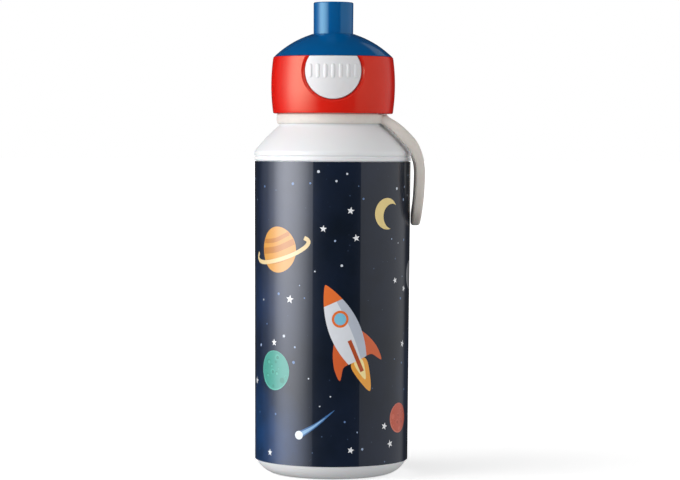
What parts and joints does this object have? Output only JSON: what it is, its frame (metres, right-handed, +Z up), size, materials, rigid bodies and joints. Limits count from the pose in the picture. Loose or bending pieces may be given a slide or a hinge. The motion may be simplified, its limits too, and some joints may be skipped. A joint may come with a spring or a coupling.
{
  "type": "kids water bottle",
  "caption": "Children's drinking bottle: wrapped cylindrical body, screw lid with push button, domed cover, sprung pop-up spout and a soft hanging carry loop.",
  "frame": {"origin": "centre of the flat base, on the bottle's axis, where it stands", "axes": "+Z up along the bottle's axis towards the spout; -Y towards the push button; +X towards the hanging carry loop"},
  "size_m": [0.0713, 0.0658, 0.1979],
  "materials": {
    "body_plastic": "satin white polypropylene",
    "label_print": "glossy printed film, night-sky artwork",
    "strap_elastomer": "soft cream elastomer, fine matt texture",
    "lid_ring_plastic": "satin red polypropylene",
    "insert_plastic": "natural white polypropylene",
    "dome_plastic": "semi-gloss blue polypropylene",
    "button_plastic": "matt white polypropylene",
    "silicone": "translucent grey silicone",
    "spring_steel": "bright spring wire"
  },
  "bodies": {
    "bottle": {"bottle_body": "body_plastic", "wrap_label": "label_print"},
    "strap_ring": {"carry_ring": "strap_elastomer"},
    "strap_loop": {"carry_loop": "strap_elastomer"},
    "gasket": {"lid_gasket": "silicone"},
    "lid": {"lid_ring": "lid_ring_plastic", "thread_insert": "insert_plastic", "dome": "dome_plastic", "drink_tube": "insert_plastic", "tube_seal": "silicone", "valve_pin": "insert_plastic", "valve_tip": "silicone", "vent_valve": "silicone", "spout_spring": "spring_steel", "button_spring_left": "spring_steel", "button_spring_right": "spring_steel"},
    "pop_spout": {"spout": "dome_plastic"},
    "button": {"push_button": "button_plastic", "latch_plate": "insert_plastic"}
  },
  "joints": [
    {"name": "strap_swivel", "type": "hinge", "parent": "bottle", "child": "strap_ring", "pos_m": [0, 0, 0.1492], "axis": [0, 0, 1], "continuous": true},
    {"name": "strap_swing", "type": "hinge", "parent": "strap_ring", "child": "strap_loop", "pos_m": [0.0253, 0, 0.1462], "axis": [0, -1, 0], "range_deg": [0, 90], "stiffness_Nm_per_rad": 0.01},
    {"name": "lid_rise", "type": "slide", "parent": "bottle", "child": "gasket", "axis": [0, 0, 1], "range_m": [0, 0.008]},
    {"name": "lid_turn", "type": "hinge", "parent": "gasket", "child": "lid", "pos_m": [0, 0, 0.16], "axis": [0, 0, 1], "range_deg": [0, 720]},
    {"name": "spout_pop", "type": "slide", "parent": "lid", "child": "pop_spout", "axis": [0, 0, 1], "range_m": [-0.009, 0], "stiffness_N_per_m": 400, "springref_m": 0.008, "deforming": ["spout_spring"]},
    {"name": "button_press", "type": "slide", "parent": "lid", "child": "button", "axis": [0, 1, 0], "range_m": [0, 0.002], "stiffness_N_per_m": 1500, "springref_m": -0.001, "deforming": ["button_spring_left", "button_spring_right"]}
  ],
  "couplings": [
    {"joint": "lid_rise", "follows": "lid_turn", "m_per_rad": 0.00063662}
  ]
}
